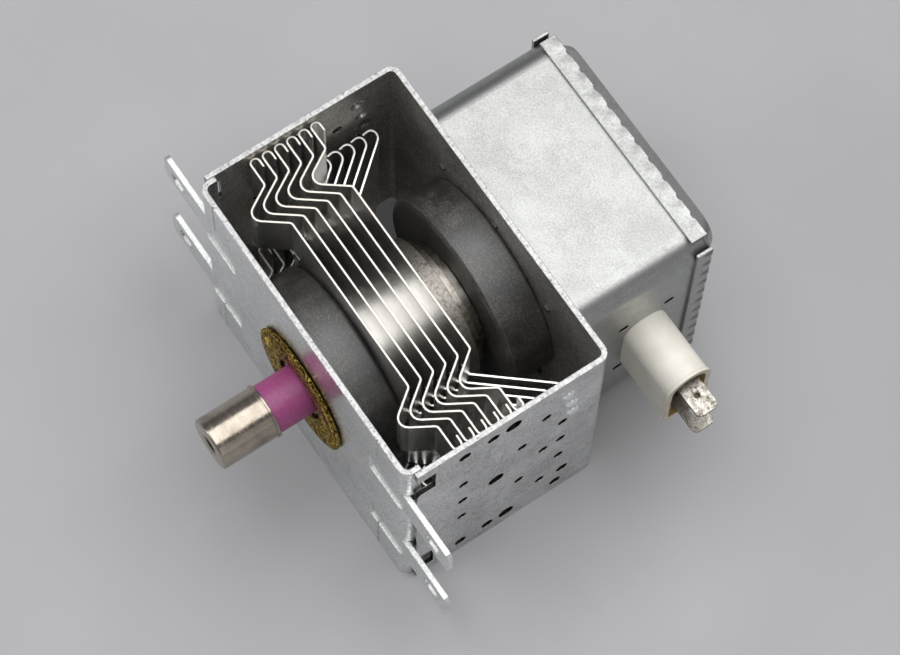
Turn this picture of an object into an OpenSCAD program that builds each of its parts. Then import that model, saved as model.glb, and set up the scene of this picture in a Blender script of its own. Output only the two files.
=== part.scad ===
// Oven magnetron: a finned vacuum tube held between two ring magnets in a steel yoke,
// with a closed filter box behind it.
// The origin lies where the antenna axis crosses the mounting face of the front plate.
// The antenna points along -Y, the filter box lies along +Y, and the yoke's open side is up.

/* [Yoke] */
// Outer width of the yoke, across its two side walls
yoke_w = 92; // [86:1:104]
// Height of the yoke, from the lower rim to the upper rim
yoke_h = 75; // [68:1:90]
// Outer depth of the yoke, from the mounting face to the back face
yoke_d = 57.6; // [54:0.2:70]
// Thickness of the yoke's steel sheet
sheet_t = 1.4; // [1:0.1:2]
// Bend radius of the yoke sheet at its middle layer
sheet_bend_r = 2.2; // [1.5:0.1:3.5]
// Gap between the side walls and the flanges of the front plate
wall_gap = 0.1; // [0.05:0.05:0.3]
// Distance from the mounting face to the front edge of the side walls
wall_setback = 2.8; // [1.8:0.1:4]
// Height of the tongue at each front corner of the side walls
tongue_h = 4.4; // [3:0.2:6]
// Height of the notch beside each tongue
notch_h = 9.4; // [6:0.2:10]
// Distance from the mounting face to the bottom of that notch in the right wall
right_notch_y = 7.9; // [6:0.1:9]
// Distance from the mounting face to the bottom of that notch in the left wall
left_notch_y = 6.4; // [5:0.1:9]

/* [Wall holes] */
// Diameter of the small holes in the side walls
small_hole_d = 2.7; // [1.5:0.1:3]
// Diameter of the middle holes in the side walls
middle_hole_d = 3.4; // [2:0.1:3.8]
// Diameter of the large holes in the side walls
large_hole_d = 4.5; // [3:0.1:5]
// Height of the outermost row of holes above the axis
edge_row_z = 31.4; // [28:0.2:32]
// Height of the second row of holes above the axis
second_row_z = 22.2; // [18:0.2:25]
// Height of the third row of holes above the axis
third_row_z = 11.8; // [9:0.2:14]
// Width of the pressed bumps near the back corners
bump_d = 3.8; // [2:0.2:4.2]
// Height of the pressed bumps
bump_h = 1; // [0.4:0.1:1.2]

/* [Front plate] */
// Depth of the plate's side flanges, measured from the mounting face
flange_d = 4.8; // [4:0.2:6]
// Distance between the left and right lug slots
lug_pitch_x = 112; // [106:1:126]
// Distance between the upper and lower lugs
lug_pitch_z = 34.6; // [30:0.2:40]
// Width of each lug
lug_w = 10.4; // [9:0.2:12]
// Distance from the slot's centre to the lug's tip
lug_tip = 6.3; // [5.5:0.1:8]
// Corner radius at the lug's tip
lug_tip_r = 1.8; // [1:0.1:4]
// Width of the slot in each lug
slot_w = 4.2; // [3.6:0.1:5]
// Length of the slot in each lug
slot_len = 6.2; // [5.2:0.1:7.4]
// How far the lugs are set back behind the mounting face
lug_setback = 0.5; // [0.3:0.1:0.8]
// Distance from the middle of the plate to the root of the lugs
lug_root_x = 29.6; // [26:0.2:32]
// Width of the cuts beside each lug
cut_w = 0.3; // [0.2:0.1:0.8]
// Distance of the right-hand seam from the middle
seam_right_x = 33; // [32.5:0.5:36]
// Distance of the left-hand seam from the middle
seam_left_x = 37.7; // [34:0.1:39]
// Width and depth of the seams
seam_w = 0.4; // [0.2:0.1:0.6]

/* [Magnets] */
// Outer diameter of the ring magnets
magnet_od = 54; // [48:0.5:56]
// Thickness of the ring magnets
magnet_t = 12.4; // [10:0.2:13]
// Width of the chamfers on the ring magnets
magnet_chamfer = 0.9; // [0.4:0.1:1.5]
// Gap between a magnet and what passes through its bore
bore_gap = 0.9; // [0.5:0.1:1.5]

/* [Anode] */
// Outer diameter of the anode cylinder
anode_od = 38.6; // [36:0.2:40]
// Wall thickness of the anode cylinder
anode_wall = 2.5; // [2:0.1:3]
// Length of the anode cylinder
anode_len = 25.4; // [24:0.2:27]
// Gap between the front magnet and the anode
anode_gap = 0.2; // [0.1:0.1:0.4]
// Number of vanes inside the anode
vane_count = 10; // [8:2:12]
// Thickness of each vane
vane_t = 1.9; // [1.6:0.1:2]
// Length of each vane along the axis
vane_len = 9.5; // [8.5:0.1:10]
// Radius of the circle inside the vane tips
vane_tip_r = 4.6; // [4.4:0.1:5]
// Width and height of the strap rings
strap_w = 0.9; // [0.7:0.1:1.1]
// Thickness of the iron pole pieces
pole_t = 1.6; // [1.2:0.1:2]
// Radius of the hole in the pole pieces
pole_hole_r = 4.8; // [4.5:0.1:5.2]
// Thickness of the sheet steel seals
seal_t = 0.8; // [0.6:0.1:1]
// Outer radius of the seals inside the magnets
seal_r = 9.1; // [8.8:0.1:9.6]

/* [Cathode] */
// Mean radius of the filament's coil
filament_r = 1.95; // [1.7:0.05:2.1]
// Radius of the filament's wire
filament_wire_r = 0.3; // [0.25:0.05:0.4]
// Number of turns of the filament
filament_turns = 8; // [6:1:10]
// Radius of the shields at the filament's ends
shield_r = 3.6; // [3.4:0.1:3.9]
// Thickness of those shields
shield_t = 0.8; // [0.6:0.1:1.2]
// Radius of the two cathode leads
lead_r = 0.7; // [0.5:0.1:0.8]
// Distance of the side lead from the axis
side_lead_z = 3; // [2.9:0.05:3.1]
// Length of the ceramic stem
stem_len = 16; // [12:0.5:20]
// How far the stem stands out behind the yoke
stem_out = 8; // [5:0.5:10]

/* [Fins] */
// Number of cooling fins
fin_count = 6; // [6:1:6]
// Thickness of a fin
fin_t = 0.5; // [0.4:0.05:0.6]
// Distance from one fin to the next
fin_pitch = 3.48; // [3.3:0.02:3.6]
// Height of a fin
fin_h = 69.4; // [60:0.2:74]
// Half width of the flat middle of a fin
fin_flat_x = 25.1; // [24:0.1:27]
// Height of the middle tab at each end of a fin
fin_mid_h = 35.6; // [28:0.2:42]
// Width of the splits between the tabs
fin_split = 0.9; // [0.6:0.1:1.4]
// How far the outer tabs dip towards the front
tab_dip = 8.7; // [6:0.1:9.2]
// Distance of the dip from the axis
tab_dip_x = 31.7; // [31:0.1:33]
// Where the outer tabs come back to the fin's plane
tab_back_x = 37; // [36:0.1:38]
// How far the middle tabs reach towards the back
mid_reach = 16.7; // [14:0.1:17.5]
// Distance of the middle tabs' outer bend from the axis
mid_bend_x = 39.1; // [38:0.1:39.5]
// Radius of the hooks at the tabs' ends
hook_r = 1.2; // [0.9:0.05:1.25]
// Length of the hooks' straight ends
hook_end = 1.8; // [1:0.1:2.4]
// Gap between the hooks and the side walls
hook_gap = 0.1; // [0.1:0.05:0.4]
// Distance from the hooks to the ends of the middle tabs
mid_short = 2; // [1.5:0.1:2.5]
// Length of the lip at the end of each middle tab
mid_lip = 3.1; // [2.6:0.1:3.2]

/* [Antenna] */
// Outer diameter of the wire mesh gasket
gasket_od = 35; // [32:0.5:38]
// Diameter of the hole in the gasket
gasket_hole_d = 16.8; // [16.6:0.1:18]
// How far the gasket stands proud of the mounting face
gasket_t = 1.6; // [1:0.1:3]
// How far the antenna's seal stands out of the mounting face
seal_out = 0.4; // [0.2:0.1:0.8]
// Outer diameter of the antenna's ceramic tube
ceramic_d = 13.4; // [12.6:0.1:13.4]
// Length of the ceramic tube
ceramic_len = 10.6; // [9:0.1:12]
// Wall thickness of the ceramic tube
ceramic_wall = 2.4; // [2:0.1:3]
// Outer diameter of the antenna cap
cap_d = 14; // [12.8:0.1:14.8]
// Length of the antenna cap
cap_len = 16.2; // [14:0.1:18]
// Wall thickness of the antenna cap
cap_wall = 0.7; // [0.5:0.1:1]
// Diameter of the hole in the end of the cap
cap_hole_d = 5.2; // [4:0.1:6]
// Outer radius of the copper exhaust tube
exhaust_r = 3; // [2.7:0.1:3.4]

/* [Filter box] */
// Outer width of the filter box
box_w = 68.4; // [62:0.2:76]
// Outer height of the filter box
box_h = 66; // [60:0.5:70]
// Distance from the yoke to the outer face of the cover's rim
box_d = 37.9; // [34:0.1:44]
// Thickness of the box's sheet
box_t = 0.8; // [0.6:0.1:1]
// Outer radius of the box's long edges
box_r = 6.5; // [4:0.1:8]
// Width of the cover's flanges
cover_flange = 4.5; // [3.5:0.1:6]
// How far the cover's middle panel stands out
panel_out = 3.4; // [2:0.1:4]
// Distance from the box's sides to the foot of the panel
panel_in = 1.2; // [1:0.1:3]
// Width of the panel's sloping border
panel_slope = 2.2; // [1.6:0.1:4]
// Distance between the crimps along the cover's folds
crimp_pitch = 5.8; // [5:0.1:8]
// Radius of each crimp
crimp_r = 1.6; // [1.5:0.1:1.8]
// Distance from the ends of the cover's flanges to the box's sides
flange_inset = 2.2; // [1.6:0.1:4]

/* [Connector] */
// Distance of the connector's middle behind the yoke
socket_y = 20.5; // [18:0.1:22]
// Height of the connector's middle above the axis
socket_z = -2; // [-4:0.1:0]
// Width of the plastic shroud
shroud_w = 12.6; // [12.4:0.2:15]
// Height of the plastic shroud
shroud_h = 22; // [20:0.2:23]
// How far the shroud stands out of the box
shroud_len = 19; // [16:0.2:22]
// Wall thickness of the shroud
shroud_wall = 1.3; // [1:0.1:1.6]
// Radius of the shroud's round top
shroud_r = 6; // [3:0.1:6.1]
// Corner radius at the foot of the shroud
shroud_foot_r = 2; // [1.6:0.1:3]
// Depth of the open end of the shroud
shroud_depth = 16; // [12:0.2:18]
// Gap between the shroud and its opening in the box
shroud_gap = 0.1; // [0.05:0.05:0.2]
// Width of the terminal tabs
tab_w = 6.3; // [4.8:0.1:6.4]
// Thickness of the terminal tabs
tab_t = 0.8; // [0.5:0.1:1]
// Distance between the two tabs
tab_pitch = 11.2; // [10.6:0.2:11.6]
// How far the tabs stand out of the shroud
tab_out = 8.4; // [6:0.2:10]
// Corner radius at the tabs' tips
tab_tip_r = 1.6; // [1:0.1:2.2]
// Distance between the slots above and below the shroud
clip_pitch_z = 25.4; // [24.6:0.2:29]
// Distance between the slots at the sides of the shroud
clip_pitch_y = 13.6; // [11:0.2:15]
// Length of each of those slots
clip_len = 3; // [2.4:0.1:4]
// Width of each of those slots
clip_w = 2; // [1:0.1:2.2]

/* [Hidden] */
$fn = 48;
// A cut runs this far past the face that it opens
past = 1;
// Clearance of pieces that are brazed or pressed together
seat = 0.05;

// Main stations along the axis, from the mounting face
back_in = yoke_d - sheet_t;
magnet1_end = sheet_t + magnet_t;
magnet2_start = back_in - magnet_t;
anode_start = magnet1_end + anode_gap;
anode_end = anode_start + anode_len;
anode_mid = (anode_start + anode_end) / 2;
vane_start = anode_mid - vane_len / 2;
vane_end = anode_mid + vane_len / 2;
anode_r = anode_od / 2;
anode_bore_r = anode_r - anode_wall;
step_r = anode_r - anode_wall / 2;
step_depth = seal_t + pole_t;
magnet_bore_r = seal_r + bore_gap;

// Lug and plate sizes
side_in = yoke_w / 2 - sheet_t;
flange_x = side_in - wall_gap - sheet_t / 2;
lug_z = lug_pitch_z / 2;
lug_top = lug_z + lug_w / 2;
lug_low = lug_z - lug_w / 2;
lug_end_x = lug_pitch_x / 2 + lug_tip;

// Columns of the side walls' hole pattern, from the mounting face
column_1 = 0.28 * yoke_d;
column_2 = 0.42 * yoke_d;
column_3 = 0.45 * yoke_d;
column_4 = 0.52 * yoke_d;
column_5 = 0.575 * yoke_d;
column_6 = 0.69 * yoke_d;
column_7 = 0.78 * yoke_d;
column_8 = 0.81 * yoke_d;
bump_places = [[0.793, 0.778], [0.816, 0.594], [0.826, 0.436]];

// Tab stakes of the filter box in the yoke's back wall
stake_x = [-22.5, 0, 22.5];
stake_z = [21, magnet_od / 2 + 1.2, 21];
stake_w = 1.8;
stake_t = 0.9;

// Antenna stations, measured outwards from the mounting face
ceramic_end = seal_out + ceramic_len;
cap_end = ceramic_end + cap_len;
seal_lip_r = ceramic_d / 2 + 0.9;

// Stations of the fins
fin_first = magnet1_end + 0.2 + fin_t / 2;
hook_x = side_in - hook_gap - fin_t / 2 - hook_r;
hook_bend = 0.97 * hook_r;
mid_end_x = hook_x + hook_r - mid_short;

// Filter box stations along the axis
box_start = yoke_d;
box_end = yoke_d + box_d;
cover_in = box_end - box_t;
shroud_y = yoke_d + socket_y;
box_in_x = box_w / 2 - box_t;
ground_t = 1;
ground_x = box_in_x - 0.1 - ground_t;
shroud_start = ground_x + ground_t;
shroud_end = box_w / 2 + shroud_len;
tab_end = shroud_end + tab_out;
tab_start = shroud_end - shroud_depth;

// Inside of the filter box
body_len = 8;
body_start = ground_x - body_len;
rod_r = 1;
rod_start = body_start - 5;
choke_wire_r = 0.7;
choke_r = 5;
choke_turns = 9;
choke_start_x = -24;
choke_end_x = 4;
choke_y = yoke_d + 26;
choke_z = 14;
core_r = choke_r * cos(18) - choke_wire_r - 0.1;
lead_end = yoke_d + 13;

// Extrudes an outline drawn in X and Z from y = a to y = b
module along_y(a, b) {
    translate([0, b, 0]) rotate([90, 0, 0]) linear_extrude(b - a) children();
}

// Extrudes an outline drawn in Y and Z from x = a to x = b
module along_x(a, b) {
    translate([a, 0, 0]) rotate([90, 0, 90]) linear_extrude(b - a) children();
}

// Turns an outline of radius and station around the antenna axis
module turned(points) {
    rotate([-90, 0, 0]) rotate_extrude() polygon(points);
}

// A round rod along Y, from y = a to y = b
module rod_y(r, a, b) {
    translate([0, a, 0]) rotate([-90, 0, 0]) cylinder(r = r, h = b - a);
}

// A round rod along X, from x = a to x = b
module rod_x(r, a, b) {
    translate([a, 0, 0]) rotate([0, 90, 0]) cylinder(r = r, h = b - a);
}

// A rectangle with round corners, centred
module rounded(w, h, r) {
    square([w - 2 * r, h], center = true);
    square([w, h - 2 * r], center = true);
    for (sx = [-1, 1], sy = [-1, 1]) {
        translate([sx * (w / 2 - r), sy * (h / 2 - r)]) circle(r);
    }
}

// A slot with round ends, centred, along the first axis
module slot(length, width) {
    square([length - width, width], center = true);
    for (s = [-1, 1]) {
        translate([s * (length - width) / 2, 0]) circle(width / 2);
    }
}

// Points of one rounded corner between the lines a-b and b-c
function unit(v) = v / norm(v);
function turn(a) = a > 180 ? a - 360 : (a < -180 ? a + 360 : a);
function corner(a, b, c, r, steps) =
    let (u = unit(a - b), v = unit(c - b), half = acos(u * v) / 2)
    let (middle = b + unit(u + v) * r / sin(half))
    let (p = b + u * r / tan(half) - middle, q = b + v * r / tan(half) - middle)
    let (start = atan2(p[1], p[0]), sweep = turn(atan2(q[1], q[0]) - start))
    [for (i = [0:steps]) middle + r * [cos(start + sweep * i / steps), sin(start + sweep * i / steps)]];

// A bent line through points, with the radius of each inner corner
function bent(points, radii, steps = 5) = concat(
    [points[0]],
    [for (i = [1:len(points) - 2], p = corner(points[i - 1], points[i], points[i + 1], radii[i - 1], steps)) p],
    [points[len(points) - 1]]);

// The same line moved sideways by d, with mitred corners
function side(a, b) = let (u = unit(b - a)) [-u[1], u[0]];
function shifted(line, d) = [for (i = [0:len(line) - 1])
    let (before = i == 0 ? side(line[0], line[1]) : side(line[i - 1], line[i]))
    let (after = i == len(line) - 1 ? before : side(line[i], line[i + 1]))
    line[i] + d * (before + after) / (1 + before * after)];
function backwards(list) = [for (i = [len(list) - 1:-1:0]) list[i]];

// Outline of a bent sheet of thickness t around a line
module sheet(line, t) {
    polygon(concat(shifted(line, t / 2), backwards(shifted(line, -t / 2))));
}

// A round wire swept along a list of points, with a cross-section that turns with it but never twists
function tangent(path, i) =
    unit(path[min(i + 1, len(path) - 1)] - path[max(i - 1, 0)]);
function flat_to(n, t) = unit(n - (n * t) * t);
function normals(path) =
    [for (i = 0, n = flat_to([0.5, 0.3, 0.8], tangent(path, 0)); i < len(path); i = i + 1,
        n = i < len(path) ? flat_to(n, tangent(path, i)) : n) n];
module wire(path, r, sides = 8) {
    last = len(path) - 1;
    across = normals(path);
    rings = [for (i = [0:last], k = [0:sides - 1])
        let (n = across[i], m = cross(tangent(path, i), n), a = 360 * k / sides)
        path[i] + r * (cos(a) * n + sin(a) * m)];
    walls = [for (i = [0:last - 1], k = [0:sides - 1])
        let (a = i * sides + k, b = i * sides + (k + 1) % sides)
        [a, a + sides, b + sides, b]];
    first_cap = [for (k = [0:sides - 1]) k];
    last_cap = [for (k = [sides - 1:-1:0]) last * sides + k];
    polyhedron(rings, concat(walls, [first_cap, last_cap]), convexity = 10);
}

// The three heights at which the front plate is bent back, between the lugs
plate_bands = [[lug_top + cut_w, yoke_h / 2],
    [-lug_low + cut_w, lug_low - cut_w],
    [-yoke_h / 2, -lug_top - cut_w]];

// Outline of a side wall's front edge, cut away beside the corner tongue down to station y
notch_chamfer = 0.8;
module wall_notch(y) {
    low = tongue_h + notch_h;
    polygon([[-past, tongue_h], [y, tongue_h], [y, low], [wall_setback + notch_chamfer, low],
        [wall_setback, low + notch_chamfer], [-past, low + notch_chamfer]]);
}

// Hole pattern of a side wall, in Y and Z
module wall_holes() {
    for (s = [-1, 1]) {
        translate([column_1, s * edge_row_z]) circle(d = middle_hole_d);
        translate([column_2, s * edge_row_z]) circle(d = middle_hole_d);
        translate([column_4, s * edge_row_z]) circle(d = large_hole_d);
        translate([column_6, s * second_row_z]) circle(d = small_hole_d);
        for (y = [column_1, column_5, column_7]) {
            translate([y, s * third_row_z]) circle(d = small_hole_d);
        }
    }
    for (y = [column_1, column_6, column_7]) {
        translate([y, 0]) circle(d = small_hole_d);
    }
    translate([column_3, 0]) circle(d = large_hole_d);
    translate([column_7, -edge_row_z]) circle(d = middle_hole_d);
    translate([column_8, -second_row_z - 2]) circle(d = middle_hole_d);
}

// A pressed bump, standing out of a side wall along +X
bump_ball = (bump_d * bump_d / 4 + bump_h * bump_h) / (2 * bump_h);
module bump() {
    rotate([0, 90, 0]) intersection() {
        translate([0, 0, bump_h - bump_ball]) sphere(bump_ball);
        translate([0, 0, -sheet_t / 2]) cylinder(d = bump_d, h = sheet_t);
    }
}

module yoke_channel() {
    wall_x = (yoke_w - sheet_t) / 2;
    wall_y = yoke_d - sheet_t / 2;
    profile = bent([[-wall_x, wall_setback], [-wall_x, wall_y], [wall_x, wall_y], [wall_x, wall_setback]],
        [sheet_bend_r, sheet_bend_r]);
    color("silver") {
        difference() {
            translate([0, 0, -yoke_h / 2]) linear_extrude(yoke_h) sheet(profile, sheet_t);
            along_x(-yoke_w, yoke_w) wall_holes();
            for (s = [-1, 1]) {
                along_x(0, yoke_w) translate([0, s * yoke_h / 2]) mirror([0, s > 0 ? 1 : 0])
                    wall_notch(right_notch_y);
                along_x(-yoke_w, 0) translate([0, s * yoke_h / 2]) mirror([0, s > 0 ? 1 : 0])
                    wall_notch(left_notch_y);
            }
            rod_y(seal_r + bore_gap, back_in - past, yoke_d + past);
            for (i = [0:2], s = [-1, 1]) {
                along_y(back_in - past, yoke_d + past) translate([stake_x[i], s * stake_z[i]])
                    square([stake_w + 2 * seat, stake_t + 2 * seat], center = true);
            }
            for (p = bump_places, s = [-1, 1]) {
                mirror([s < 0 ? 1 : 0, 0, 0]) translate([side_in - 0.4, p[0] * yoke_d, p[1] * yoke_h / 2])
                    rotate([0, 90, 0]) cylinder(r1 = 0.6 * bump_d, r2 = 0.25 * bump_d, h = bump_h + 0.3);
            }
        }
        for (p = bump_places, s = [-1, 1]) {
            mirror([s < 0 ? 1 : 0, 0, 0]) translate([yoke_w / 2, p[0] * yoke_d, p[1] * yoke_h / 2]) bump();
        }
    }
}

module front_plate() {
    profile = bent([[-flange_x, flange_d], [-flange_x, sheet_t / 2], [flange_x, sheet_t / 2], [flange_x, flange_d]],
        [sheet_bend_r, sheet_bend_r]);
    color("lightgray") difference() {
        union() {
            along_y(0, sheet_t) square([2 * lug_root_x, yoke_h], center = true);
            for (band = plate_bands) {
                translate([0, 0, band[0]]) linear_extrude(band[1] - band[0]) sheet(profile, sheet_t);
            }
            for (sx = [-1, 1], sz = [-1, 1]) {
                along_y(lug_setback, lug_setback + sheet_t) translate([0, sz * lug_z]) mirror([sx < 0 ? 1 : 0, 0]) {
                    lug_outline();
                }
            }
        }
        rod_y(seal_r + bore_gap, -past, sheet_t + past);
        for (sx = [-1, 1], sz = [-1, 1]) {
            along_y(-past, sheet_t + past) translate([sx * lug_pitch_x / 2, sz * lug_z]) slot(slot_len, slot_w);
        }
        for (x = [seam_right_x, -seam_left_x], s = [-1, 1]) {
            along_y(-past, seam_w) translate([x, s * (lug_top + yoke_h / 2 + past) / 2])
                square([seam_w, yoke_h / 2 + past - lug_top], center = true);
        }
    }
}

// Outline of one lug, from its root to its rounded tip
module lug_outline() {
    root = lug_root_x - sheet_t;
    translate([root, -lug_w / 2]) square([lug_end_x - lug_tip_r - root, lug_w]);
    translate([root, lug_tip_r - lug_w / 2]) square([lug_end_x - root, lug_w - 2 * lug_tip_r]);
    for (s = [-1, 1]) {
        translate([lug_end_x - lug_tip_r, s * (lug_w / 2 - lug_tip_r)]) circle(lug_tip_r);
    }
}

// A ring magnet between two stations
module ring_magnet(a, b) {
    r = magnet_od / 2;
    c = magnet_chamfer;
    turned([[magnet_bore_r + c, a], [r - c, a], [r, a + c], [r, b - c], [r - c, b],
        [magnet_bore_r + c, b], [magnet_bore_r, b - c], [magnet_bore_r, a + c]]);
}

module front_magnet() {
    color("dimgray") ring_magnet(sheet_t, magnet1_end);
}

module rear_magnet() {
    color("dimgray") ring_magnet(magnet2_start, back_in);
}

// Middle line of an outer tab: a dip to the front, back to the plane, and a hook at the wall
function outer_tab(s) = bent([for (p = [[fin_flat_x - 4, 0], [fin_flat_x, 0], [tab_dip_x, -tab_dip], [tab_back_x, 0.1],
    [hook_x + hook_r, 0.1], [hook_x + hook_r, 0.1 + 2 * hook_r], [hook_x - hook_end, 0.1 + 2 * hook_r]]) [s * p[0], p[1]]],
    [1.2, 2.4, 1.2, hook_bend, hook_bend]);

// Middle line of the middle tab: a slope to the back and a lip that turns forward
function middle_tab(s) = bent([for (p = [[fin_flat_x - 4, 0], [fin_flat_x, 0], [mid_bend_x, mid_reach],
    [mid_end_x, mid_reach], [mid_end_x - 0.6, mid_reach - mid_lip]]) [s * p[0], p[1]]],
    [1.2, 2, 1.5]);

// One cooling fin: a flat middle with a collar on the anode, and three bent tabs at each end
module fin(number) {
    y = fin_first + (number - 1) * fin_pitch;
    tab_h = (fin_h - fin_mid_h) / 2 - fin_split;
    color("gainsboro") translate([0, y, 0]) difference() {
        union() {
            along_y(-fin_t / 2, fin_t / 2) square([2 * fin_flat_x - 6, fin_h], center = true);
            for (s = [-1, 1]) {
                for (z = [fin_h / 2 - tab_h, -fin_h / 2]) {
                    translate([0, 0, z]) linear_extrude(tab_h) sheet(outer_tab(s), fin_t);
                }
                translate([0, 0, -fin_mid_h / 2]) linear_extrude(fin_mid_h) sheet(middle_tab(s), fin_t);
            }
            rod_y(anode_r + fin_t, -fin_t / 2, fin_pitch - fin_t / 2 - 0.1);
        }
        rod_y(anode_r + seat, -past, fin_pitch + past);
    }
}

module anode_cylinder() {
    a = anode_start;
    b = anode_end;
    color("lightgray") turned([[step_r, a], [anode_r, a], [anode_r, b], [step_r, b], [step_r, b - step_depth],
        [anode_bore_r, b - step_depth], [anode_bore_r, a + step_depth], [step_r, a + step_depth]]);
}

// Mean radii of the inner and outer strap rings
strap_radii = [vane_tip_r + 1.6, vane_tip_r + 3.4];
strap_clear = 0.4;

module anode_vanes() {
    color("peru") for (i = [0:vane_count - 1]) {
        rotate([0, 360 * i / vane_count - 90, 0]) difference() {
            intersection() {
                translate([vane_tip_r, vane_start, -vane_t / 2]) cube([anode_r, vane_len, vane_t]);
                rod_y(anode_bore_r - 0.01, vane_start - past, vane_end + past);
            }
            for (k = [0, 1]) {
                clear = (i + k) % 2 == 0 ? 0 : strap_clear;
                depth = strap_w + clear;
                for (y = [vane_start - past, vane_end - depth]) {
                    translate([strap_radii[k] - strap_w / 2 - clear, y, -vane_t])
                        cube([strap_w + 2 * clear, depth + past, 2 * vane_t]);
                }
            }
        }
    }
}

module strap_rings() {
    color("peru") for (r = strap_radii, y = [vane_start, vane_end - strap_w]) {
        turned([[r - strap_w / 2 + 2 * seat, y], [r + strap_w / 2 - 2 * seat, y],
            [r + strap_w / 2 - 2 * seat, y + strap_w], [r - strap_w / 2 + 2 * seat, y + strap_w]]);
    }
}

// A dished pole piece whose flange starts at station a; d is the direction of its dish
pole_depth = vane_start - anode_start - seal_t - pole_t - 2.2;
module pole_piece(a, d) {
    r = step_r - seat;
    b = a + d * pole_t;
    tip = a + d * pole_depth;
    turned([[r, a], [r, b], [anode_bore_r - 3, b], [pole_hole_r + 2, tip + d * pole_t], [pole_hole_r, tip + d * pole_t],
        [pole_hole_r, tip], [pole_hole_r + 1.4, tip], [anode_bore_r - 3.8, a]]);
}

// Radius and spread of the opening through which the antenna lead leaves the anode
lead_gate_r = 2.2;
lead_gate_x = 8.6;

module front_pole_piece() {
    color("slategray") difference() {
        pole_piece(anode_start + seal_t, 1);
        translate([0, 0, lead_gate_x]) rod_y(lead_gate_r, anode_start, anode_mid);
    }
}

module rear_pole_piece() {
    color("slategray") pole_piece(anode_end - seal_t, -1);
}

module antenna_seal() {
    t = seal_t;
    tip = -seal_out;
    neck = tip + 2.1;
    color("silver") turned([[step_r - seat, anode_start], [step_r - seat, anode_start + t], [seal_r - t, anode_start + t],
        [seal_r - t, neck + t / 2], [seal_lip_r - t, tip + t], [ceramic_d / 2 - 1.6, tip + t], [ceramic_d / 2 - 1.6, tip],
        [seal_lip_r, tip], [seal_r, neck], [seal_r, anode_start]]);
}

// Rings of the cathode seal that show between the anode and the rear magnet
module cathode_seal() {
    t = seal_t;
    r1 = anode_r - 2;
    r2 = anode_r - 3.6;
    a = anode_end - t;
    c = magnet2_start - anode_gap;
    b = (a + t + c) / 2;
    e = yoke_d + stem_out - 2;
    color("silver") turned([[step_r - seat, a], [step_r - seat, a + t], [r1, a + t], [r1, b], [r2, b], [r2, c], [seal_r, c],
        [seal_r, e], [seal_r - t, e], [seal_r - t, c - t], [r2 - t, c - t], [r2 - t, b - t], [r1 - t, b - t], [r1 - t, a]]);
}

module antenna_ceramic() {
    r = ceramic_d / 2;
    q = r - ceramic_wall;
    color("mediumorchid") turned([[q, -ceramic_end], [r, -ceramic_end], [r, -seal_out], [q, -seal_out]]);
}

module antenna_cap() {
    r = cap_d / 2;
    w = cap_wall;
    e = -cap_end;
    edge = 0.5;
    hole = cap_hole_d / 2;
    lip = -ceramic_end - 0.6;
    color("lightgray") turned([[hole, e + 0.5], [hole + 0.5, e], [r - edge, e], [r - edge / 3, e + edge / 3], [r, e + edge],
        [r, lip], [r + 0.4, lip], [r + 0.4, -ceramic_end], [r - w, -ceramic_end], [r - w, e + 2 * w], [hole, e + 2 * w]]);
}

module exhaust_tube() {
    r = exhaust_r;
    a = -ceramic_end;
    b = -cap_end + 4;
    flange = cap_d / 2 - cap_wall - seat;
    color("peru") difference() {
        union() {
            turned([[0, a], [flange, a], [flange, a - 0.6], [r, a - 0.6], [r, b + 3], [0, b + 3]]);
            intersection() {
                rod_y(r, b, b + 4);
                along_x(-r, r) polygon([[b + 4, r], [b + 3, r], [b, 0.5], [b, -0.5], [b + 3, -r], [b + 4, -r]]);
            }
        }
        rod_y(r - 0.7, b + 4, a + past);
    }
}

// Route of the antenna lead, from a vane to the middle of the exhaust tube
lead_tip_y = -cap_end + 8.5;
module antenna_lead() {
    route = [[0, vane_start, lead_gate_x], [0, vane_start - 2, lead_gate_x], [0, anode_start + 3.6, lead_gate_x - 0.6],
        [0, anode_start + 0.4, lead_gate_x - 2.4], [0, 0.7 * anode_start, 3.2], [0, 0.4 * anode_start, 0.8],
        [0, 0.18 * anode_start, 0], [0, lead_tip_y, 0]];
    color("peru") wire(route, 1.2);
}

module rf_gasket() {
    a = gasket_hole_d / 2;
    b = gasket_od / 2;
    c = 0.5;
    color("darkgoldenrod") turned([[a, 0], [b, 0], [b, c - gasket_t], [b - c, -gasket_t], [a + c, -gasket_t], [a, c - gasket_t]]);
}

// Stations of the filament's ends
filament_start = vane_start - 0.2;
filament_end = vane_end + 0.2;

module filament() {
    steps = 10 * filament_turns;
    a = filament_start + filament_wire_r;
    b = filament_end - filament_wire_r;
    route = [for (i = [0:steps])
        [filament_r * cos(36 * i), a + (b - a) * i / steps, filament_r * sin(36 * i)]];
    color("dimgray") wire(route, filament_wire_r, 6);
}

module front_end_shield() {
    a = filament_start;
    color("gray") turned([[0, a - shield_t - 0.6], [1.6, a - shield_t - 0.6], [1.6, a - shield_t], [shield_r, a - shield_t],
        [shield_r, a], [lead_r + seat, a], [lead_r + seat, a - shield_t], [0, a - shield_t]]);
}

module rear_end_shield() {
    b = filament_end;
    color("gray") turned([[lead_r + 0.5, b], [shield_r, b], [shield_r, b + shield_t], [lead_r + 0.5, b + shield_t]]);
}

module centre_lead() {
    color("dimgray") rod_y(lead_r, filament_start - shield_t, lead_end);
}

module side_lead() {
    color("dimgray") translate([0, 0, -side_lead_z]) rod_y(lead_r, filament_end + shield_t, lead_end);
}

module stem_ceramic() {
    b = yoke_d + stem_out;
    a = b - stem_len;
    color("white") difference() {
        rod_y(seal_r - seal_t - seat, a, b);
        rod_y(lead_r + seat, a - past, b + past);
        translate([0, 0, -side_lead_z]) rod_y(lead_r + seat, a - past, b + past);
    }
}

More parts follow.
